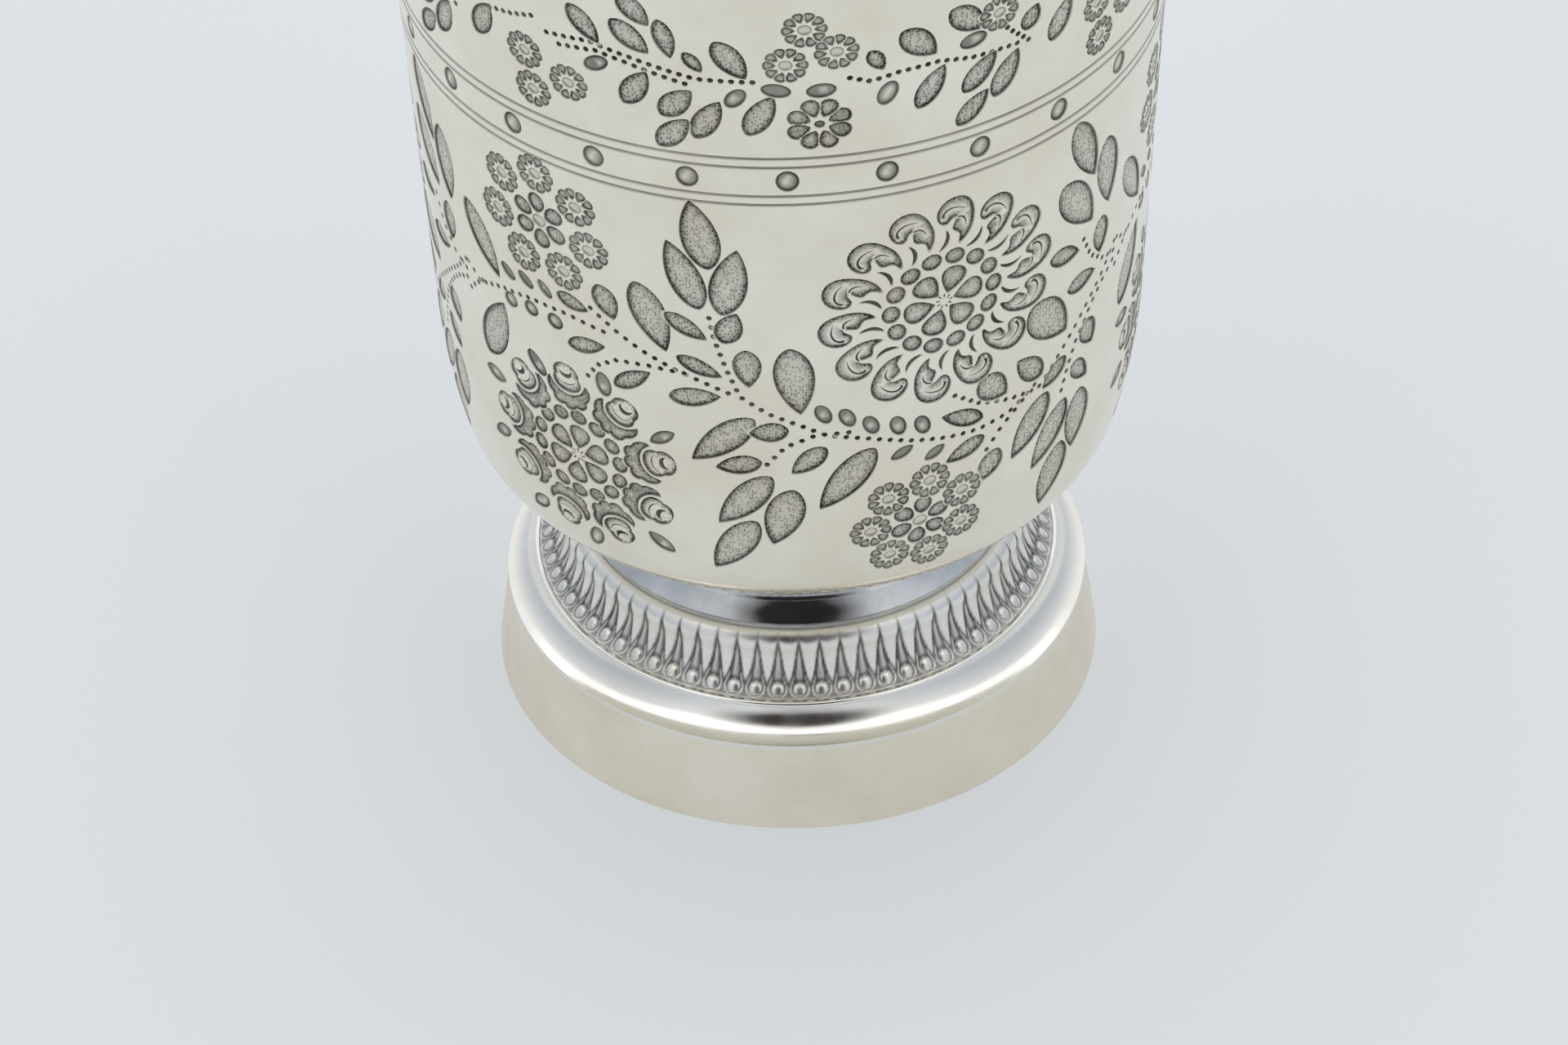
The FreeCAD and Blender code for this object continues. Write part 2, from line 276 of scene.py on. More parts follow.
def rose(centre, angle):
    """A rose seen from the side: a collar of five lobes behind and the bud in front, with a fold, a dark
    crescent round its eye and a notched tip."""
    collar = closed_curve((((1.0, 2.3), (0.8, 3.25), (-1.0, 3.3), (-1.6, 2.4), 8),
                           ((-1.6, 2.4), (-2.4, 2.6), (-3.2, 1.7), (-2.75, 0.85), 8),
                           ((-2.75, 0.85), (-3.45, 0.7), (-3.45, -0.7), (-2.75, -0.85), 7),
                           ((-2.75, -0.85), (-3.2, -1.7), (-2.4, -2.6), (-1.6, -2.4), 8),
                           ((-1.6, -2.4), (-1.0, -3.3), (0.8, -3.25), (1.0, -2.3), 8),
                           ((1.0, -2.3), (-1.6, -1.95), (-1.6, 1.95), (1.0, 2.3), 15)))
    bud = closed_curve((((-0.75, 0), (-0.75, -1.4), (0.2, -2.45), (1.55, -1.75), 9),
                        ((1.55, -1.75), (2.5, -2.05), (3.4, -1.2), (3.4, 0), 8),
                        ((3.4, 0), (3.4, 1.2), (2.5, 2.05), (1.55, 1.75), 8),
                        ((1.55, 1.75), (0.2, 2.45), (-0.75, 1.4), (-0.75, 0), 9)))
    fold = bezier((1.25, -1.35), (0.1, -0.9), (0.1, 0.9), (1.25, 1.35), 9)
    crescent = bezier((2.5, -0.8), (1.25, -0.95), (1.25, 0.75), (2.4, 0.85), 9)
    made = [punch(turned_points(part, centre, angle), "lobe") for part in (collar, bud)]
    made.append(stroke(turned_points(fold, centre, angle), swelling(9, .12, .26, .12, .5)))
    made.append(stroke(turned_points(crescent, centre, angle), swelling(9, .16, .66, .16, .45)))
    for side in (-0.55, 0.0, 0.55):
        notch = [(3.2 - abs(side) * 0.3, side), (2.65, side * 0.6)]
        made.append(stroke(turned_points(notch, centre, angle), [.22, .10]))
    return made


def rose_cluster(azimuth, height):
    centre = flat(azimuth, height)
    made = petals(centre, 0.85, 4.4, 2.95, 6, 22, "lobe")
    made += petals(centre, 0.2, 1.0, 0.3, 8, 0, "line")
    made += [oval_at(place, 2.4, 2.1, angle + 90, "lobe") for place, angle in ring_of(centre, 5.6, 14, 8)]
    for place, angle in ring_of(centre, 9.5, 9, 14):
        made += rose(place, angle)
    return made


def stem(*stops, spacing=1.28):
    """Dots along a line through (degrees, height) stops, evenly spaced."""
    line = np.array([flat(*stop) for stop in stops])
    run = np.concatenate([[0], np.cumsum(np.hypot(*np.diff(line, axis=0).T))])
    count = max(2, int(round(run[-1] / spacing)) + 1)
    at = np.linspace(0, run[-1], count)
    return [dot_at(np.array([np.interp(d, run, line[:, 0]), np.interp(d, run, line[:, 1])])) for d in at]


def lower_garland():
    """One third of the garland round the bowl's body."""
    made = []
    for row in (((-58.9, 72.0), (-55.6, 70.7), (-50, 72.3), (-43, 73.4), (-36, 73.7), (-29.5, 73.1)),
                ((-58.9, 68.3), (-57.2, 69.6), (-55.0, 71.0)),
                ((-31.5, 75.9), (-27, 73.6), (-23.3, 72.0), (-18.5, 70.4), (-14, 69.1), (-9.8, 67.8)),
                ((-33, 65.9), (-31, 68), (-27.5, 69.6), (-22.2, 70), (-16.5, 69.9)),
                ((-12.2, 78.2), (-11.6, 75.3), (-9.9, 71.1), (-8.0, 67.4), (-3.8, 65.1), (1.3, 63.3),
                 (5, 61.8), (11.2, 60.7), (19, 59), (24.7, 58.1), (30.2, 57.7), (35.8, 58.2), (41, 60.2)),
                ((-4.2, 57.8), (-1.2, 60.4), (3.5, 61.9), (8.5, 61.9)),
                ((25.7, 63.8), (30.2, 61.4), (35.9, 60.1), (41.8, 59.4), (45.6, 61.9), (49.6, 64.5),
                 (53.3, 67), (57, 69.3), (60.3, 71.9)),
                ((31.8, 54.2), (34.6, 56.7), (38.6, 58.9)),
                ((47.4, 56.7), (48.6, 59.5), (50.6, 62.8), (54.2, 66.2), (57.0, 68.0), (60.1, 69.3)),
                ((50.9, 76.5), (53, 73.4), (56.8, 71.2), (60.2, 70.6))):
        made += stem(*row)
    for blade in ((-57.6, 81.6, -50.1, 73.4, 4.0), (-55.6, 60.7, -49.7, 70.1, 4.6),
                  (-37.8, 76.1, -31.8, 75.2, 2.3), (-30.0, 79.7, -27.4, 75.2, 3.2),
                  (-36.4, 69.4, -29.3, 71.0, 2.4), (-28.4, 65.8, -21.9, 69.1, 2.4),
                  (-11.9, 84.9, -14.4, 94.3, 4.3), (-13.5, 79.2, -18.2, 88.4, 4.0),
                  (-10.3, 78.7, -7.6, 88.0, 4.2), (-23.7, 81.6, -19.1, 72.5, 4.3),
                  (-19.2, 78.1, -12.6, 75.0, 2.5), (-17.7, 72.2, -10.5, 69.9, 2.3),
                  (-19.3, 66.2, -10.8, 67.2, 2.8), (-10.4, 74.8, -8.0, 79.2, 3.2),
                  (-6.9, 74.1, -6.6, 68.7, 3.3), (-0.4, 74.4, 1.2, 64.9, 4.6),
                  (-5.9, 64.3, -16.1, 57.6, 3.9), (-0.6, 62.7, -7.0, 62.1, 2.9),
                  (-4.9, 58.1, -12.4, 56.9, 2.8), (5.1, 60.0, -0.5, 56.4, 2.9),
                  (12.7, 59.1, 3.8, 51.0, 4.2), (-3.5, 56.0, -12.3, 48.6, 4.0),
                  (-0.1, 54.1, -3.7, 45.6, 4.6), (-6.1, 49.3, -13.6, 40.9, 4.3),
                  (31.0, 59.1, 23.4, 61.3, 2.6), (31.4, 56.4, 24.3, 54.4, 2.6),
                  (30.0, 64.6, 35.4, 61.1, 3.9), (42.6, 61.0, 37.1, 65.0, 3.3),
                  (39.4, 71.5, 47.9, 65.2, 5.4), (34.2, 53.7, 30.6, 49.6, 3.3),
                  (44.2, 58.0, 36.8, 50.9, 4.2), (48.2, 61.4, 42.7, 58.8, 2.7),
                  (47.4, 93.7, 52.9, 84.5, 4.0), (45.0, 86.0, 53.0, 78.3, 4.7),
                  (55.8, 88.3, 57.4, 78.7, 4.4), (43.0, 76.8, 50.0, 75.4, 2.7),
                  (55.6, 77.6, 55.8, 72.4, 3.2), (47.4, 70.7, 54.7, 70.7, 2.7),
                  (52.4, 64.3, 55.2, 60.2, 3.3), (49.7, 59.4, 54.2, 56.0, 2.7),
                  (48.7, 55.2, 41.5, 47.4, 4.1), (52.4, 54.9, 51.6, 46.4, 4.6),
                  (48.2, 49.0, 45.6, 39.9, 4.8)):
        made.append(leaf(*blade))
    for seed in ((-47.8, 75.4, 2.7, 1.6, -36), (-43.9, 75.7, 2.7, 1.6, -36), (-40.0, 75.8, 2.7, 1.5, -48),
                 (-47.8, 71.4, 2.2, 2.2, 90), (-43.3, 71.9, 2.2, 2.2, 90), (-38.5, 71.8, 2.3, 2.3, 90),
                 (-30.3, 65.4, 3.5, 2.1, 98), (-43.3, 64.2, 3.7, 2.1, -50),
                 (4.6, 64.8, 3.0, 1.9, -65), (8.3, 64.0, 3.0, 1.9, -65), (12.0, 62.5, 3.0, 1.9, -66),
                 (16.3, 61.7, 3.0, 2.0, -72), (20.3, 61.0, 3.0, 2.0, -70), (-35.3, 40.8, 3.7, 2.1, 68)):
        made.append(oval(*seed))
    for seed in ((-56.8, 58.3, -51.4, 58.2, 2.1), (-56.4, 48.9, -51.8, 50.9, 2.0),
                 (-49.3, 40.6, -45, 43.3, 2.2), (-24.6, 45.0, -20.2, 42.3, 2.1),
                 (-22.9, 58.9, -18.6, 61.0, 1.8),
                 (15.1, 56.9, 18.9, 58.4, 1.6), (20.7, 55.7, 24.2, 57.3, 1.6)):
        made.append(pip(*seed))
    made += daisy_cluster(-39.8, 85.4, 6.4, 90)
    made += daisy_cluster(20.3, 46.8, 5.85, 80)
    made += rosette(23.5, 77.8)
    made += rose_cluster(-36.3, 53.4)
    return made


def upper_garland():
    """One quarter of the smaller garland above the band."""
    made = []
    for row in (((-35, 112.2), (-28, 112.9), (-22, 112.1), (-12.5, 110.6), (-4.5, 110.6)),
                ((-33, 111.2), (-27, 111.9), (-22.5, 111.3), (-14, 109.8)),
                ((9, 110.6), (12, 109.8), (16, 110.4), (22, 110.6), (27, 109.8), (34.5, 109.4)),
                ((31, 113.5), (33.3, 111.5), (36.5, 109.2)),
                ((-45.5, 112.0), (-41.5, 112.6), (-37.5, 113.6))):
        made += stem(*row, spacing=1.05)
    for azimuth, height, length, width, tilt in (
            (-47.4, 109.8, 5.6, 3.0, 62), (-28.8, 115.0, 5.4, 2.8, -52), (-21.8, 114.8, 5.4, 3.0, -42),
            (-21.0, 118.4, 4.8, 2.8, -48), (-16.7, 115.3, 5.1, 2.4, -76), (-12.8, 112.7, 3.1, 1.8, -52),
            (-21.4, 108.2, 5.5, 2.9, 60), (-15.5, 107.1, 5.1, 3.0, 48), (-11.1, 105.3, 5.9, 2.9, 62),
            (-16.1, 103.1, 5.3, 2.9, 50), (-7.6, 113.3, 5.7, 3.1, -56), (-3.6, 106.2, 6.0, 3.0, 62),
            (18.9, 113.6, 5.4, 3.3, -46), (20.8, 107.5, 5.9, 2.8, 60), (28.4, 107.5, 5.7, 2.9, 48),
            (32.8, 106.1, 6.1, 3.0, 62), (27.4, 103.1, 5.2, 2.7, 46), (26.2, 115.0, 5.3, 3.2, -42),
            (31.5, 117.5, 5.2, 2.8, -60), (36.9, 112.0, 3.4, 2.6, 60), (12.8, 112.4, 3.2, 2.0, -62)):
        middle = flat(azimuth, height)
        half = heading(tilt) * length / 2
        made.append(lens(middle - half, middle + half, width, "leaf", 0.62, 0.8))
    for seed in ((-27.2, 110.2, 3.2, 2.0, 32), (-1.3, 109.5, 3.2, 1.9, -12), (5.0, 109.3, 3.2, 2.0, 5),
                 (14.4, 107.9, 3.3, 2.2, 66), (-7.0, 108.4, 3.0, 2.0, 52), (27.2, 112.0, 3.2, 2.1, 8)):
        made.append(oval(*seed))
    for azimuth, height in ((-38.4, 103.7), (-32.0, 106.4), (-39.4, 108.5), (2.8, 117.3), (0.1, 112.8),
                            (7.2, 114.2), (31.3, 114.4)):
        made += daisy(flat(azimuth, height), 2.35, azimuth)
    made += petals(flat(4.7, 104.9), 0.9, 3.5, 2.1, 8, 22, "lobe", 0.8)
    made.append(oval_at(flat(4.7, 104.9), 1.3, 1.1, 0))
    return made


# ---------------- mesh of one patch of the wall
FINE_STEP = 0.6                  # degrees between points where two patches meet
COARSE_STEP = 3.0                # degrees between points where the wall is plain
GROUND_STEP = 1.9                # millimetres between points of plain ground inside a patch
FLOOR_STEP = 0.95                # and inside a leaf
CLEARANCE = 0.5                  # millimetres kept free of ground points along borders and grooves
PUNCH_CLEARANCE = 0.35           # and round punches
FLOOR_CLEARANCE = 0.25           # and kept free of floor points inside the innermost ring
ON_EDGE = 0.004                  # a point this near an outline is on it
GROOVE = 0.46                    # width, depth and darkness of the engraved lines
GROOVE_DEPTH = 0.15
GROOVE_DARK = 0.62
GROOVE_SLOPE = 0.7               # how far a groove's sides lean the normals
GROOVE_ROWS = (-GROOVE / 2, -GROOVE / 4, GROOVE / 4, GROOVE / 2)
EASE = 0.06                      # millimetres over which a punch's wall is taken to turn
NUDGE = 0.02                     # step for measuring which way a punch's wall faces
GRAIN_FROM = 0.15                # stipple starts this far in from a punch's outline


def distance_in(points, ring):
    """Distance of each point from a closed ring, positive inside it."""
    a = ring
    b = np.roll(ring, -1, axis=0)
    edge = b - a
    gap = points[:, None] - a[None]
    t = np.clip((gap * edge).sum(-1) / ((edge ** 2).sum(-1) + 1e-12), 0, 1)
    away = np.hypot(*np.moveaxis(gap - t[..., None] * edge, -1, 0)).min(1)
    above = (a[None, :, 1] > points[:, None, 1]) != (b[None, :, 1] > points[:, None, 1])
    with np.errstate(divide="ignore", invalid="ignore"):
        cross = a[None, :, 0] + (points[:, None, 1] - a[None, :, 1]) * edge[None, :, 0] / edge[None, :, 1]
    hits = (above & (points[:, None, 0] < cross)).sum(1)
    return np.where(hits % 2 == 1, away, -away)


def inset(ring, amount):
    """The ring moved inwards, without the points that would come too near another side."""
    if amount == 0:
        return ring
    edge = np.roll(ring, -1, axis=0) - ring
    edge /= np.hypot(*edge.T)[:, None] + 1e-12
    inward = np.stack([-edge[:, 1], edge[:, 0]], -1)
    inward = inward + np.roll(inward, 1, axis=0)
    inward /= np.hypot(*inward.T)[:, None] + 1e-12
    area = (ring[:, 0] * np.roll(ring[:, 1], -1) - ring[:, 1] * np.roll(ring[:, 0], -1)).sum()
    moved = ring + inward * amount * (1 if area > 0 else -1)
    return moved[distance_in(moved, ring) > 0.86 * amount]


class Web:
    """Points and edges collected for one triangulation."""

    def __init__(self):
        self.points = []
        self.edges = []

    def add_ring(self, ring):
        first = len(self.points)
        count = len(ring)
        self.points += [Vector(p) for p in ring]
        self.edges += [(first + i, first + (i + 1) % count) for i in range(count)]

    def add_row(self, row):
        first = len(self.points)
        self.points += [Vector(p) for p in row]
        self.edges += [(first + i, first + i + 1) for i in range(len(row) - 1)]

    def add_points(self, places):
        self.points += [Vector(p) for p in places]


def grid_in(low, high, step):
    """A staggered grid of points inside a box."""
    rows = np.arange(low[1] + step / 2, high[1], step * 0.87)
    made = []
    for number, v in enumerate(rows):
        shift = step / 2 if number % 2 else 0.0
        u = np.arange(low[0] + step / 2 + shift, high[0], step)
        made.append(np.stack([u, np.full_like(u, v)], -1))
    return np.concatenate(made) if made else np.zeros((0, 2))


def patch(start, end, low, high, low_step, high_step, punches, grooves=()):
    """Triangulates the wall between two azimuths and two heights round its punches and level grooves.
    Returns azimuths, heights, depth, tilt, darkness and stipple at each vertex, and the triangles."""
    web = Web()
    left = start * MM_PER_DEGREE
    right = end * MM_PER_DEGREE
    groove_rows = sorted(g + offset for g in grooves for offset in GROOVE_ROWS)
    sides = np.unique(np.round(np.concatenate([np.linspace(low, high, int((high - low) / GROUND_STEP) + 2),
                                               groove_rows]), 6))
    bottom = np.linspace(left, right, int(round((end - start) / low_step)) + 1)
    top = np.linspace(left, right, int(round((end - start) / high_step)) + 1)
    border = [(u, low) for u in bottom] + [(right, v) for v in sides[1:-1]]
    border += [(u, high) for u in top[::-1]] + [(left, v) for v in sides[1:-1][::-1]]
    web.add_ring(border)
    fine = np.linspace(left, right, int(round((end - start) / FINE_STEP)) + 1)
    for v in groove_rows:
        web.add_row([(u, v) for u in fine])
    ground = grid_in((left, low), (right, high), GROUND_STEP)
    keep = (ground[:, 0] > left + CLEARANCE) & (ground[:, 0] < right - CLEARANCE)
    keep &= (ground[:, 1] > low + CLEARANCE) & (ground[:, 1] < high - CLEARANCE)
    for v in grooves:
        keep &= np.abs(ground[:, 1] - v) > CLEARANCE
    for made in punches:
        ring = made["outline"]
        insets = CUTS[made["kind"]].rings
        near = keep & (np.abs(ground - ring.mean(0)) < np.ptp(ring, axis=0) / 2 + 2).all(1)
        keep[near] = distance_in(ground[near], ring) < -PUNCH_CLEARANCE
        for amount in insets:
            inner = inset(ring, amount)
            if len(inner) > 2:
                web.add_ring(inner)
        floor = grid_in(ring.min(0), ring.max(0), FLOOR_STEP)
        if len(floor):
            web.add_points(floor[distance_in(floor, ring) > insets[-1] + FLOOR_CLEARANCE])
    web.add_points(ground[keep])
    points, _, triangles, _, _, _ = delaunay_2d_cdt(web.points, web.edges, [], 1, 1e-4)
    points = np.array([p[:] for p in points])
    depth = np.zeros(len(points))
    dark = np.zeros(len(points))
    stipple = np.zeros(len(points))
    tilt = np.zeros((len(points), 2))
    for v in grooves:
        at = np.abs(points[:, 1] - v) < GROOVE / 4 + 0.01
        depth[at] = GROOVE_DEPTH
        dark[at] = GROOVE_DARK
        tilt[at, 1] = np.sign(v - points[at, 1]) * GROOVE_SLOPE
    for made in punches:
        ring = made["outline"]
        cut = CUTS[made["kind"]]
        near = np.where((points > ring.min(0) - 0.01).all(1) & (points < ring.max(0) + 0.01).all(1))[0]
        inside = distance_in(points[near], ring)
        near = near[inside > -ON_EDGE]
        inside = inside[inside > -ON_EDGE]
        depth[near] = np.interp(inside, cut.reach, cut.depth)
        dark[near] = np.interp(inside, cut.reach, cut.dark)
        stipple[near] = np.clip((inside - GRAIN_FROM) / 0.1, 0, 1) * cut.grain
        further = np.interp(inside + EASE, cut.reach, cut.depth)
        slope = (further - np.interp(inside - EASE, cut.reach, cut.depth)) / (2 * EASE)
        slope = np.where(inside < 0.01, 0, slope)
        for axis in (0, 1):
            shift = np.eye(2)[axis] * NUDGE
            grown = distance_in(points[near] + shift, ring) - distance_in(points[near] - shift, ring)
            tilt[near, axis] = slope * grown / (2 * NUDGE)
    return points[:, 0] / MM_PER_DEGREE, points[:, 1], depth, tilt, dark, stipple, np.array(triangles)


# ---------------- the whole bowl
LOWER_PATCH = (36.0, 96.0)       # heights each patch covers
BAND_PATCH = (96.0, 98.9)
UPPER_PATCH = (98.9, 121.2)
BAND_LINES = (94.25, 95.4, 99.25, 100.45)
RIM_LINES = (141.0, 142.15)
OVALS = 25
OVAL_HEIGHT = 97.45
OVAL_SIZE = (2.85, 2.55)
LOWER_SECTOR = (-60, 120)        # degrees: where each patch starts and how wide it is before it repeats
BAND_SECTOR = (-180 / OVALS, 360 / OVALS)
UPPER_SECTOR = (-45, 90)
WALL_LEVELS = (128, 134, 144.5)  # heights of plain rows between the garland and the rim
LIP_DROP = 0.25                  # the last plain row outside and inside, under the rim
FLAT_RING_R = 8.0                # radius of the ring of points in the flat bottom


class Shell:
    """Vertices gathered from patches, each with a place, a normal (zero for none), darkness and stipple."""

    def __init__(self):
        self.places = []
        self.normals = []
        self.dark = []
        self.stipple = []
        self.faces = []
        self.lining = []
        self.count = 0

    def add(self, places, normals, dark, stipple, faces, lining=False):
        self.places.append(places)
        self.normals.append(normals)
        self.dark.append(dark)
        self.stipple.append(stipple)
        self.faces += [tuple(int(i) + self.count for i in face) for face in faces]
        self.lining += [lining] * len(faces)
        self.count += len(places)


def add_patches(shell, start, degrees, low, high, low_step, high_step, punches, grooves=()):
    """One patch and its copies all the way round."""
    left = start * MM_PER_DEGREE
    right = (start + degrees) * MM_PER_DEGREE
    width = degrees * MM_PER_DEGREE
    around = []
    for made in punches:
        for shift in (-width, 0, width):
            ring = made["outline"] + [shift, 0]
            if ring[:, 0].max() > left and ring[:, 0].min() < right:
                around.append(punch(ring, made["kind"]))
    *shares, triangles = patch(start, start + degrees, low, high, low_step, high_step, around, grooves)
    middle = shares[0][triangles].mean(1)
    level = shares[1][triangles].mean(1)
    keep = (middle > start) & (middle < start + degrees) & (level > low) & (level < high)
    triangles = triangles[keep]
    used = np.unique(triangles)
    number = np.full(len(shares[0]), -1)
    number[used] = np.arange(len(used))
    triangles = number[triangles]
    azimuth, height, depth, tilt, dark, stipple = (share[used] for share in shares)
    for copy in range(int(round(360 / degrees))):
        places, normals = on_wall(azimuth + copy * degrees, height, depth, tilt)
        shell.add(places, normals, dark, stipple, triangles)


def add_rows(shell, rows, darks=None, lining=False, inward=False):
    """Plain rings of points: rows is a list of (r, z, normal r, normal z), darks the darkness of each row."""
    count = int(round(360 / COARSE_STEP))
    turn = np.radians(np.arange(count) * COARSE_STEP)
    places, normals = (np.concatenate([np.stack([r * np.sin(turn), -r * np.cos(turn), np.full(count, z)], -1)
                                       for r, z in pairs])
                       for pairs in ([row[:2] for row in rows], [row[2:] for row in rows]))
    faces = []
    for row in range(len(rows) - 1):
        for i in range(count):
            j = (i + 1) % count
            face = (row * count + i, row * count + j, (row + 1) * count + j, (row + 1) * count + i)
            faces.append(face[::-1] if inward else face)
    blank = np.zeros(len(places))
    shell.add(places, normals, blank if darks is None else np.repeat(darks, count), blank, faces, lining)


def profile_rows(points, outward):
    """Rows for add_rows along a line of (r, z), with normals square to it."""
    slope = np.gradient(points, axis=0)
    slope /= np.hypot(*slope.T)[:, None]
    return [(r, z, outward * dz, -outward * dr) for (r, z), (dr, dz) in zip(points, slope)]


def wall_rows(levels, depths):
    """Rows for add_rows on the bowl's outer face at some heights."""
    places, normals = on_wall(np.zeros(len(levels)), levels, depths)
    return [(-p[1], p[2], -n[1], n[2]) for p, n in zip(places, normals)]


def make_bowl():
    shell = Shell()
    band = [oval(0, OVAL_HEIGHT, *OVAL_SIZE, 90)]
    add_patches(shell, *LOWER_SECTOR, *LOWER_PATCH, COARSE_STEP, FINE_STEP, lower_garland(), BAND_LINES[:2])
    add_patches(shell, *BAND_SECTOR, *BAND_PATCH, FINE_STEP, FINE_STEP, band)
    add_patches(shell, *UPPER_SECTOR, *UPPER_PATCH, FINE_STEP, COARSE_STEP, upper_garland(), BAND_LINES[2:])
    # plain wall above, with two engraved lines under the rim, then over the rim to the lining
    engraved = [line + offset for line in RIM_LINES for offset in GROOVE_ROWS]
    levels = sorted([UPPER_PATCH[1], *WALL_LEVELS, *engraved, RIM_Z - LIP_DROP])
    sunk = [min(abs(level - line) for line in RIM_LINES) < GROOVE / 3 for level in levels]
    rows = wall_rows(np.array(levels), np.where(sunk, GROOVE_DEPTH, 0.0))
    rim_r = OUTER[-1, 0]
    inner = outline(WALL_THICK)
    lining_rows = profile_rows(inner[-2:], -1)
    over = [(rim_r - 0.08, RIM_Z - 0.07, 0.7, 0.7), (rim_r - 0.3, RIM_Z, 0, 1),
            (inner[-1, 0] + 0.25, RIM_Z, 0, 1), (inner[-1, 0], RIM_Z - LIP_DROP, *lining_rows[-1][2:])]
    add_rows(shell, rows + over, np.where(sunk + [False] * len(over), GROOVE_DARK, 0.0))
    # the plain curve under the garland, down to the flat bottom
    curve = np.linspace(HEIGHT[2], LOWER_PATCH[0], 16)
    rows = [(0.0, BOTTOM_Z, 0, -1), (FLAT_RING_R, BOTTOM_Z, 0, -1)]
    add_rows(shell, rows + wall_rows(curve, np.zeros(len(curve))))
    # the gilt inside
    wall = inner[2:-1]
    top = np.linspace(wall[-1], [inner[-1, 0], RIM_Z - LIP_DROP], 6)
    floor_z = inner[0, 1]
    inner_rows = profile_rows(np.concatenate([[[0.0, floor_z], [FLAT_RING_R, floor_z]], wall, top[1:]]), -1)
    add_rows(shell, inner_rows, lining=True, inward=True)
    return shell


def put(name, data):
    """A new object in the scene."""
    made = bpy.data.objects.new(name, data)
    bpy.context.scene.collection.objects.link(made)
    return made


def mesh_object(name, shell):
    """A mesh in metres with the shell's own normals where it has them, and its two shades as attributes.
    Vertices that share a place are merged, so the skin is closed."""
    mesh = bpy.data.meshes.new(name)
    places = np.concatenate(shell.places) * MM
    mesh.from_pydata(places.tolist(), [], shell.faces)
    mesh.attributes.new("patina", "FLOAT", "POINT").data.foreach_set("value", np.concatenate(shell.dark))
    mesh.attributes.new("stipple", "FLOAT", "POINT").data.foreach_set("value", np.concatenate(shell.stipple))
    given = mesh.attributes.new("given_normal", "FLOAT_VECTOR", "POINT")
    given.data.foreach_set("vector", np.concatenate(shell.normals).ravel())
    mesh.polygons.foreach_set("material_index", np.array(shell.lining, int))
    work = bmesh.new()
    work.from_mesh(mesh)
    bmesh.ops.remove_doubles(work, verts=work.verts, dist=2e-6)
    work.to_mesh(mesh)
    work.free()
    mesh.polygons.foreach_set("use_smooth", np.ones(len(mesh.polygons), bool))
    own = np.zeros(len(mesh.vertices) * 3)
    mesh.attributes["given_normal"].data.foreach_get("vector", own)
    own = own.reshape(-1, 3)
    worked = np.zeros(len(mesh.vertices) * 3)
    mesh.vertices.foreach_get("normal", worked)
    worked = worked.reshape(-1, 3)
    size = np.linalg.norm(own, axis=1, keepdims=True)
    normals = np.where(size > 0.5, own / np.maximum(size, 1e-9), worked)
    mesh.normals_split_custom_set_from_vertices(normals.tolist())
    mesh.attributes.remove(mesh.attributes["given_normal"])
    return put(name, mesh)


# ---------------- pieces that are patterned all the way round
def ring_piece(name, profile, columns, relief):
    """A closed skin turned about Z from points (r, z), in mm. relief(turn, row) gives how far each vertex is
    pushed along its normal, and its darkness."""
    shell = Shell()
    slope = np.roll(profile, -1, axis=0) - np.roll(profile, 1, axis=0)
    slope /= np.hypot(*slope.T)[:, None]
    turn = np.arange(columns) * 2 * math.pi / columns
    raised, dark = relief(turn[:, None], np.arange(len(profile))[None])
    r = profile[None, :, 0] + raised * slope[None, :, 1]
    z = profile[None, :, 1] - raised * slope[None, :, 0]
    places = np.stack([r * np.sin(turn)[:, None], -r * np.cos(turn)[:, None], z], -1).reshape(-1, 3)
    count = len(profile)
    faces = []
    for i in range(columns):
        j = (i + 1) % columns
        for k in range(count):
            m = (k + 1) % count
            faces.append((i * count + k, j * count + k, j * count + m, i * count + m))
    blank = np.zeros(len(places))
    shell.add(places, np.zeros_like(places), np.broadcast_to(dark, (columns, count)).ravel(), blank, faces)
    return mesh_object(name, shell)


def arc_through(a, b, c, count):
    """Points from a through b to c on one circle, without a itself."""
    a, b, c = (complex(*p) for p in (a, b, c))
    w = (c - a) / (b - a)
    centre = a + (b - a) * (w - abs(w) ** 2) / (2j * w.imag)
    start = np.angle(a - centre)
    sweep_by = np.angle((c - centre) / (a - centre))
    middle = np.angle((b - centre) / (a - centre))
    if sweep_by * middle < 0 or abs(middle) > abs(sweep_by):
        sweep_by -= math.copysign(2 * math.pi, sweep_by)
    t = start + sweep_by * np.linspace(0, 1, count + 1)[1:]
    radius = abs(a - centre)
    return np.stack([centre.real + radius * np.cos(t), centre.imag + radius * np.sin(t)], -1)


def smooth(low, high, x):
    t = np.clip((x - low) / (high - low), 0, 1)
    return t * t * (3 - 2 * t)


FLUTES = 72
FLUTE_COLUMNS = 16               # points across each flute
BEAD_AT = 1.3                    # distance of the beads' centres above the dome's lower edge, in mm
BEAD_R = 0.74
WRAP_R = 1.06                    # radius and half width of the line that wraps each bead
WRAP_HALF = 0.17
SPIKE_LENGTH = 7.4               # length of the spikes between the tongues
TONGUE_RISE, BEAD_RISE, WRAP_RISE, CORE_RISE = 0.36, 0.32, 0.20, 0.17


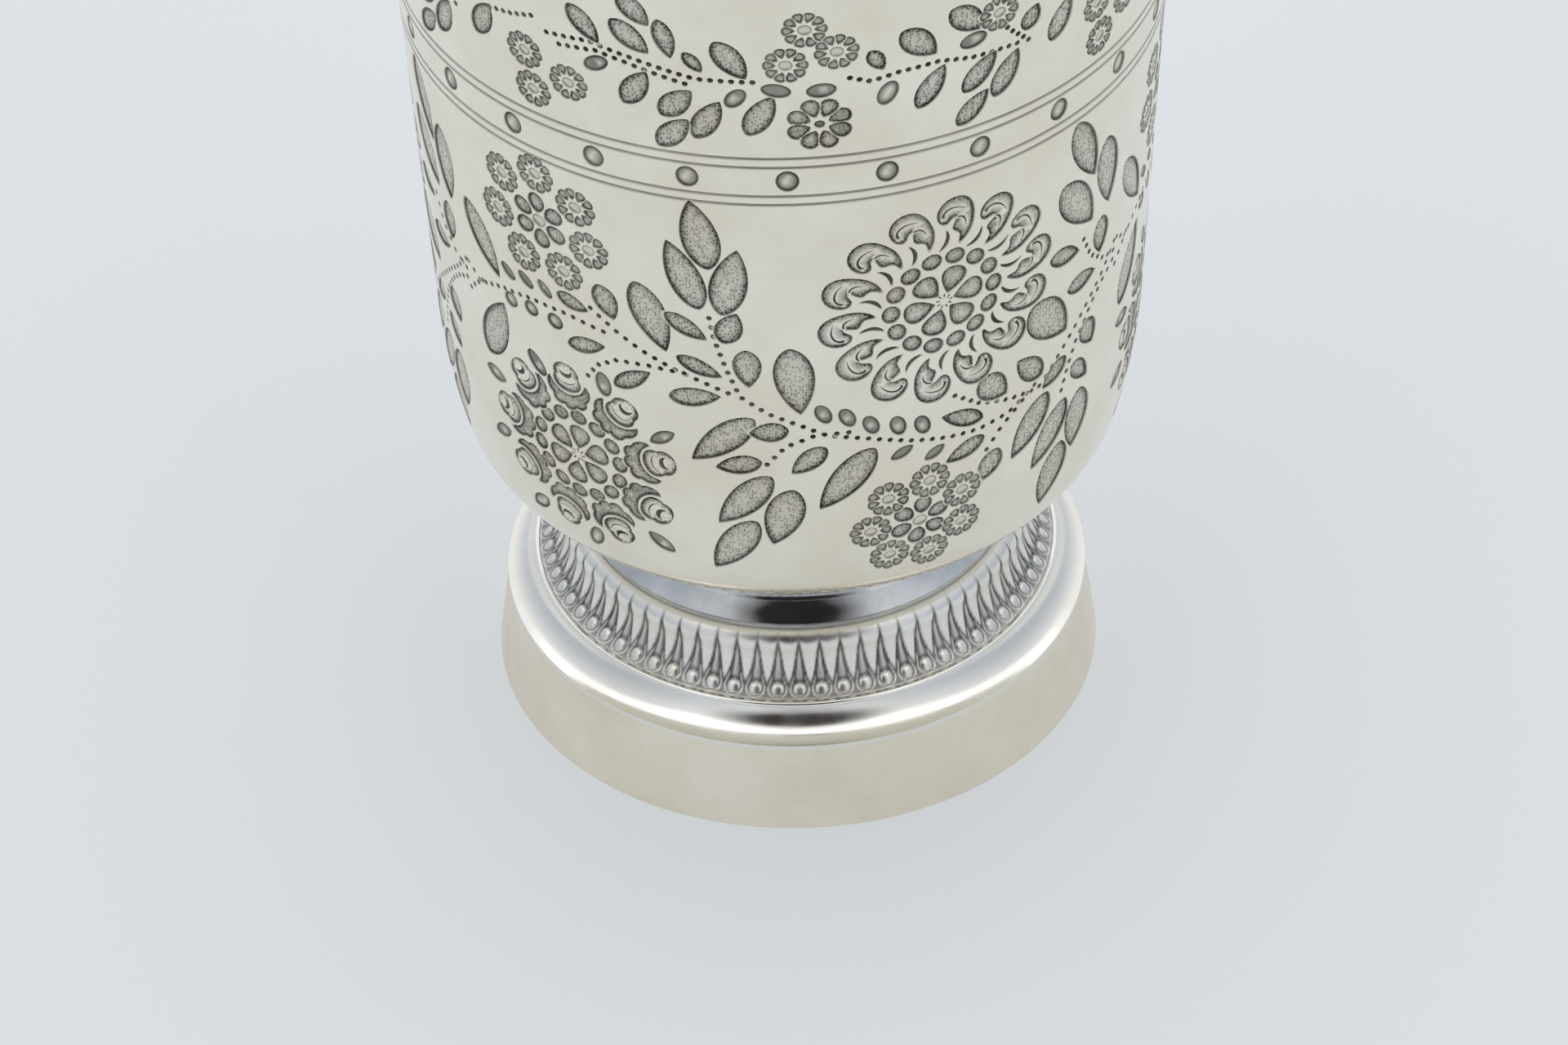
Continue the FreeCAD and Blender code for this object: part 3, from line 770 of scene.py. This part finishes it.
def make_dome():
    """The foot's dome, die-struck with beads, wrapped lines and long tongues that fade towards the collar."""
    outer = np.concatenate([[[19.0, 22.0], [22.5, 22.0], [25.2, 22.0]],
                            arc_through((25.2, 22.0), (26.5, 21.3), (27.1, 20.0), 12),
                            arc_through((27.1, 20.0), (27.9, 17.1), (29.9, 14.9), 27)])
    inner = np.concatenate([[[29.0, 14.9]],
                            arc_through((29.0, 14.9), (27.0, 16.7), (26.2, 19.7), 8),
                            arc_through((26.2, 19.7), (25.7, 20.6), (24.7, 21.1), 5),
                            [[22.0, 21.1], [19.0, 21.1]]])
    profile = np.concatenate([outer, inner])[::-1]
    # distance up the outer face from its lower edge, and below zero on the inner face, which stays plain
    climb = np.cumsum(np.hypot(*np.diff(outer[::-1], axis=0).T))
    run = np.concatenate([np.full(len(inner), -9.0), [0], climb])
    reach = profile[:, 0]

    def relief(turn, row):
        s = run[row]
        pitch = 2 * math.pi * reach[row] / FLUTES
        x = ((turn * FLUTES / (2 * math.pi) + 0.5) % 1 - 0.5) * pitch
        side = pitch / 2 - np.abs(x)
        fade = 1 - smooth(6.6, 8.5, s)
        spike = pitch / 2 * np.clip(1 - (s - 1.5) / SPIKE_LENGTH, 0.06, 1) ** 1.9
        half = np.clip(pitch / 2 - spike, 0.01, None)
        tongue = np.sqrt(np.clip(1 - (side / half) ** 2, 0, 1)) * np.clip(half / 0.5, 0, 1)
        bead = np.sqrt(np.clip(1 - (x ** 2 + (s - BEAD_AT) ** 2) / BEAD_R ** 2, 0, 1)) ** 0.7
        below = np.hypot(x, np.minimum(s - BEAD_AT, 0)) - WRAP_R
        beside = np.abs(x) - np.maximum(WRAP_R - 0.30 * (s - BEAD_AT), spike * 0.55)
        line = np.where(s < BEAD_AT, below, beside)
        wrap = np.clip(1 - (line / WRAP_HALF) ** 2, 0, 1) * (1 - smooth(2.2, 3.2, s))
        core = np.sqrt(np.clip(1 - (x / np.maximum(0.5 * spike, 0.08)) ** 2, 0, 1))
        core = core * smooth(1.9, 2.8, s) * smooth(0.12, 0.30, spike)
        top = np.maximum.reduce([tongue * TONGUE_RISE, bead * BEAD_RISE, wrap * WRAP_RISE, core * CORE_RISE])
        rim = 1 - smooth(0.10, 0.32, s)
        low = 0.12 + 0.24 * smooth(0.2, 1.7, s)
        cut = np.maximum(top - TONGUE_RISE, -low) * fade * smooth(0.02, 0.32, spike)
        cut = np.where(s < 0, 0, cut * (1 - rim))
        shade = np.clip(1.0 - top / 0.22, 0, 0.5 + low) * fade * (1 - rim)
        return cut, np.where(s < 0, 0, shade)

    return ring_piece("foot_fluted_dome_struck", profile, FLUTES * FLUTE_COLUMNS, relief)


WIRE_POINTS = 12                 # points round a milled wire's section
RIDGE_COLUMNS = 6                # and across each of its ridges


def make_milled_wire(name, node, section, ridges):
    """A round wire with a slanting milled edge, set where the CAD wire is."""
    low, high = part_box(node)
    radius = high.x / MM - section
    middle = (low.z + high.z) / 2 / MM
    t = np.linspace(0, 2 * math.pi, WIRE_POINTS + 1)[:-1]
    profile = np.stack([radius + section * np.cos(t), middle + section * np.sin(t)], -1)

    def relief(turn, row):
        wave = np.cos(turn * ridges + t[row])
        return -section * 0.28 * (0.5 - 0.5 * wave) ** 1.5, np.clip(0.45 - 0.60 * wave, 0.10, 1)

    return ring_piece(name, profile, ridges * RIDGE_COLUMNS, relief)


# ---------------- finishes
def shader_material(name):
    material = bpy.data.materials.new(name)
    material.use_nodes = True
    tree = material.node_tree
    return material, tree, tree.nodes["Principled BSDF"]


def add_node(tree, kind, inputs=(), **settings):
    node = tree.nodes.new(kind)
    for key, value in settings.items():
        setattr(node, key, value)
    for key, value in dict(inputs).items():
        if isinstance(value, bpy.types.NodeSocket):
            tree.links.new(value, node.inputs[key])
        else:
            node.inputs[key].default_value = value
    return node


def noise(tree, scale, detail, roughness):
    place = add_node(tree, "ShaderNodeTexCoord").outputs["Object"]
    return add_node(tree, "ShaderNodeTexNoise", {"Vector": place, "Scale": scale, "Detail": detail,
                                                 "Roughness": roughness}).outputs["Fac"]


def blend_colour(tree, factor, first, second):
    # a Mix node's colour sockets are numbers 6 and 7, and its colour result is number 2
    return add_node(tree, "ShaderNodeMix", {0: factor, 6: first, 7: second}, data_type="RGBA").outputs[2]


def spread(tree, value, low, high, to_low, to_high):
    return add_node(tree, "ShaderNodeMapRange", {"Value": value, "From Min": low, "From Max": high,
                                                 "To Min": to_low, "To Max": to_high}).outputs["Result"]


def join_maths(tree, operation, a, b):
    return add_node(tree, "ShaderNodeMath", {0: a, 1: b}, operation=operation).outputs[0]


def bump(tree, height, distance, below=None):
    inputs = {"Height": height, "Distance": distance}
    if below is not None:
        inputs["Normal"] = below
    return add_node(tree, "ShaderNodeBump", inputs).outputs["Normal"]


SILVER = (0.90, 0.855, 0.75, 1)
SILVER_WARM = (0.82, 0.76, 0.63, 1)
TARNISH = (0.018, 0.016, 0.014, 1)
PITS_PER_METRE = 3000.0          # the stipple: its scale, its depth in metres and how much it darkens
PIT_DEPTH = 0.00006
PIT_DARK = 0.42
PATINA_ROUGH = 0.32              # roughness added where the patina is full


def shaded_metal(name, light, warm, rough_low, rough_high, mottle, cell):
    """A metal with slow changes of colour and gloss, and a faint unevenness of the surface, mottle metres
    high and of scale cell. Returns what worked_metal builds on."""
    material, tree, shader = shader_material(name)
    cloud = noise(tree, 70.0, 5.0, 0.6)
    colour = blend_colour(tree, spread(tree, cloud, 0.35, 0.68, 0, 1), light, warm)
    tree.links.new(colour, shader.inputs["Base Color"])
    fine = noise(tree, cell, 2.0, 0.5)
    rough = spread(tree, fine, 0.3, 0.7, rough_low, rough_high)
    tree.links.new(rough, shader.inputs["Roughness"])
    shader.inputs["Metallic"].default_value = 1.0
    normal = bump(tree, fine, mottle)
    tree.links.new(normal, shader.inputs["Normal"])
    return material, tree, shader, colour, rough, normal


def metal(*look):
    return shaded_metal(*look)[0]


def worked_metal(*look):
    """Metal whose recesses are darkened by the patina attribute and grained by the stipple attribute."""
    material, tree, shader, colour, rough, normal = shaded_metal(*look)
    patina = add_node(tree, "ShaderNodeAttribute", attribute_name="patina").outputs["Fac"]
    stipple = add_node(tree, "ShaderNodeAttribute", attribute_name="stipple").outputs["Fac"]
    place = add_node(tree, "ShaderNodeTexCoord").outputs["Object"]
    cells = add_node(tree, "ShaderNodeTexVoronoi",
                     {"Vector": place, "Scale": PITS_PER_METRE, "Randomness": 0.7},
                     feature="F1").outputs["Distance"]
    pits = spread(tree, cells, 0.15, 0.55, 1, 0)
    pitted = join_maths(tree, "MULTIPLY", pits, stipple)
    wear = noise(tree, 190.0, 3.0, 0.6)
    worn = join_maths(tree, "MULTIPLY", patina, spread(tree, wear, 0.3, 0.65, 0.82, 1.0))
    shade = join_maths(tree, "ADD", worn, join_maths(tree, "MULTIPLY", pitted, PIT_DARK))
    clamp = add_node(tree, "ShaderNodeClamp", {"Value": shade, "Min": 0.0, "Max": 0.97}).outputs["Result"]
    tree.links.new(blend_colour(tree, clamp, colour, TARNISH), shader.inputs["Base Color"])
    duller = join_maths(tree, "ADD", rough, join_maths(tree, "MULTIPLY", clamp, PATINA_ROUGH))
    tree.links.new(duller, shader.inputs["Roughness"])
    dips = join_maths(tree, "MULTIPLY", pitted, -1.0)
    tree.links.new(bump(tree, dips, PIT_DEPTH, below=normal), shader.inputs["Normal"])
    return material


CHASED = worked_metal("silver_chased_worked", SILVER, SILVER_WARM, 0.13, 0.19, 0.000012, 620.0)
STRUCK = worked_metal("silver_oxidised_struck", (0.87, 0.85, 0.81, 1), (0.80, 0.77, 0.70, 1),
                      0.24, 0.32, 0.00001, 500.0)
MIRROR = metal("silver_mirror_polished", (0.90, 0.88, 0.84, 1), (0.86, 0.83, 0.77, 1),
               0.06, 0.12, 0.000006, 300.0)
# the stem collar's mirror silver is darkened and clouded towards dark grey: painted shade and painted dark
# reflection from under the bowl
SHADED_MIRROR = metal("silver_mirror_painted_shade", (0.76, 0.76, 0.74, 1), (0.40, 0.41, 0.42, 1),
               0.07, 0.14, 0.000006, 300.0)
WORN = metal("silver_mirror_worn", (0.89, 0.87, 0.82, 1), (0.84, 0.81, 0.74, 1), 0.15, 0.24, 0.000006, 260.0)
SATIN = metal("silver_satin_worn", (0.90, 0.84, 0.72, 1), (0.80, 0.73, 0.60, 1), 0.27, 0.36, 0.000004, 260.0)
GILT = metal("gilt_inside", (0.97, 0.82, 0.55, 1), (0.94, 0.77, 0.48, 1), 0.22, 0.32, 0.00001, 300.0)
BRASS = metal("gilt_brass_turned", (0.80, 0.62, 0.32, 1), (0.70, 0.52, 0.26, 1), 0.2, 0.32, 0.00001, 500.0)

NODE_FINISH = {
    SATIN: ("foot_skirt", "foot_base_wire", "foot_bridge_plate", "bowl_boss", "bowl_seat_ring", "lid_bezel"),
    BRASS: ("tie_stud", "tie_washer", "tie_nut", "finial_stud", "finial_washer", "finial_nut"),
    MIRROR: ("bowl_lip_wire", "foot_fillet_wire", "lid_rim_moulding", "finial_spool", "finial_knop"),
    CHASED: ("lid_dome",),
    # the collar takes the mirror silver with painted shade and painted dark reflection from under the bowl
    SHADED_MIRROR: ("stem_collar",),
    WORN: ("foot_moulding", "finial_cross"),
}


def finish_nodes():
    for material, names in NODE_FINISH.items():
        for name in names:
            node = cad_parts[name]
            for place in node.material_slots:
                place.link = "OBJECT"
                place.material = material


def own_piece(piece, node, body, slot_name, *materials):
    for material in materials:
        piece.data.materials.append(material)
    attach(piece, body)
    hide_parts(node)


finish_nodes()
own_piece(mesh_object("bowl_chased", make_bowl()), "bowl", "vessel", "silver_chased", CHASED, GILT)
own_piece(make_dome(), "foot_fluted_dome", "vessel", "silver_oxidised", STRUCK)
for part, body, section, ridges in (("bowl_milled_wire", "vessel", 0.6, 150),
                                    ("lid_milled_wire", "lid", 0.55, 240)):
    own_piece(make_milled_wire(part + "_cut", part, section, ridges), part, body, "silver_oxidised", STRUCK)


# ---------------- floor, light and camera
def make_floor():
    mesh = bpy.data.meshes.new("floor")
    reach = 3.0
    mesh.from_pydata([(-reach, -reach, 0), (reach, -reach, 0), (reach, reach, 0), (-reach, reach, 0)], [],
                     [(0, 1, 2, 3)])
    floor = put("floor", mesh)
    material, tree, shader = shader_material("floor_paper")
    cloud = noise(tree, 3.0, 2.0, 0.5)
    tree.links.new(blend_colour(tree, cloud, (0.435, 0.455, 0.465, 1), (0.455, 0.475, 0.485, 1)),
                   shader.inputs["Base Color"])
    shader.inputs["Roughness"].default_value = 0.6
    shader.inputs["Specular IOR Level"].default_value = 0.15
    shader.inputs["Emission Color"].default_value = (0.805, 0.835, 0.855, 1)
    shader.inputs["Emission Strength"].default_value = 0.385
    mesh.materials.append(material)


def make_world():
    """A pale room: bright above, dimmer at the sides, and a dark shape where the photographer stands."""
    world = bpy.data.worlds.new("room")
    bpy.context.scene.world = world
    world.use_nodes = True
    tree = world.node_tree
    out = tree.nodes["Background"]
    place = add_node(tree, "ShaderNodeTexCoord").outputs["Generated"]
    parts = add_node(tree, "ShaderNodeSeparateXYZ", {"Vector": place}).outputs
    rise = spread(tree, parts["Z"], -0.05, 0.55, 0, 1)
    sky = blend_colour(tree, rise, (0.60, 0.66, 0.74, 1), (0.96, 0.97, 1.0, 1))
    side = add_node(tree, "ShaderNodeMath", {0: parts["X"]}, operation="ABSOLUTE").outputs[0]
    walls = blend_colour(tree, spread(tree, side, 0.35, 0.95, 0, 0.75), sky, (0.40, 0.46, 0.54, 1))
    figure = add_node(tree, "ShaderNodeVectorMath", {0: place, 1: Vector((0, -0.80, 0.60)).normalized()[:]},
                      operation="DISTANCE").outputs["Value"]
    dark = spread(tree, figure, 0.29, 0.55, 1, 0)
    colour = blend_colour(tree, dark, walls, (0.035, 0.03, 0.03, 1))
    tree.links.new(colour, out.inputs["Color"])
    out.inputs["Strength"].default_value = 1.02


def make_light():
    """One broad soft light overhead."""
    data = bpy.data.lights.new("overhead", "AREA")
    data.shape = "RECTANGLE"
    data.size, data.size_y = 2.2, 2.0
    data.energy = 6.0
    data.color = (1.0, 0.99, 0.97)
    light = put("overhead", data)
    light.location = (0.0, 0.05, 1.4)
    light.rotation_euler = (Vector((0, 0, 0.05)) - light.location).to_track_quat("-Z", "Y").to_euler()


def make_camera():
    elevation = math.radians(40.274)
    roll = math.radians(-1.399)
    yaw = math.radians(-0.103)
    distance = 759.06 * MM
    aim = Vector((0, 0, 15.954 * MM))
    ahead = Vector((0, math.cos(elevation), -math.sin(elevation)))
    above = Vector((0, math.sin(elevation), math.cos(elevation)))
    right = Vector((1, 0, 0))
    place = aim - ahead * distance
    facing = math.cos(yaw) * ahead + math.sin(yaw) * right
    level = math.cos(yaw) * right - math.sin(yaw) * ahead
    across = math.cos(roll) * level + math.sin(roll) * above
    upward = across.cross(facing)
    data = bpy.data.cameras.new("camera")
    data.sensor_width = 36.0
    data.lens = 150.0
    data.clip_start = 0.01
    camera = put("camera", data)
    camera.matrix_world = Matrix.Translation(place) @ Matrix((across, upward, -facing)).transposed().to_4x4()
    bpy.context.scene.camera = camera


bpy.context.scene.view_settings.view_transform = "Standard"
make_floor()
make_world()
make_light()
make_camera()
